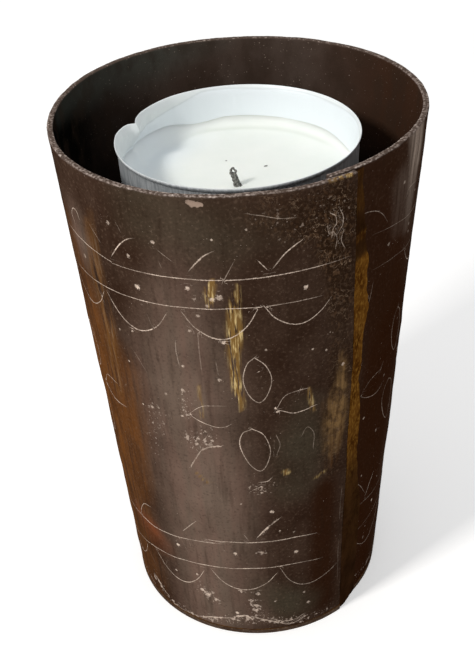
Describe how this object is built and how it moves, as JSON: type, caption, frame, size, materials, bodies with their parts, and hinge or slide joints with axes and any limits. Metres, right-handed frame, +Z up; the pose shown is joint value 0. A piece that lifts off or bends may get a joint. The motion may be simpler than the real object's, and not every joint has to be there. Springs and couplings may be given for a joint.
{
  "type": "tea light holder",
  "caption": "Tapered cup rolled from dark sheet metal with a lapped brazed seam and a brazed flat base, carrying a tea light near its mouth that lifts out.",
  "frame": {"origin": "middle of the cup's flat base, on the surface that it stands on", "axes": "+Z up along the cup's axis; -Y towards the side that the picture shows, with the lapped seam to its right"},
  "size_m": [0.0561, 0.057, 0.093],
  "materials": {
    "iron": "hand-worked sheet iron with a dark brown patina, worn pale at the rim",
    "brass": "old brass braze, dull and stained",
    "foil": "thin drawn aluminium, slightly crumpled",
    "wax": "white candle wax, softly translucent",
    "tin": "tinned sheet steel",
    "wick": "burnt cotton wick"
  },
  "bodies": {
    "holder": {"cup_wall": "iron", "seam_braze": "brass", "base_disc": "iron", "base_braze": "brass", "shelf": "iron"},
    "tealight": {"tealight_cup": "foil", "wax": "wax", "wick_sustainer": "tin", "wick": "wick"}
  },
  "joints": [
    {"name": "tealight_lift", "type": "slide", "parent": "holder", "child": "tealight", "axis": [0, 0, 1], "range_m": [0, 0.03]}
  ]
}
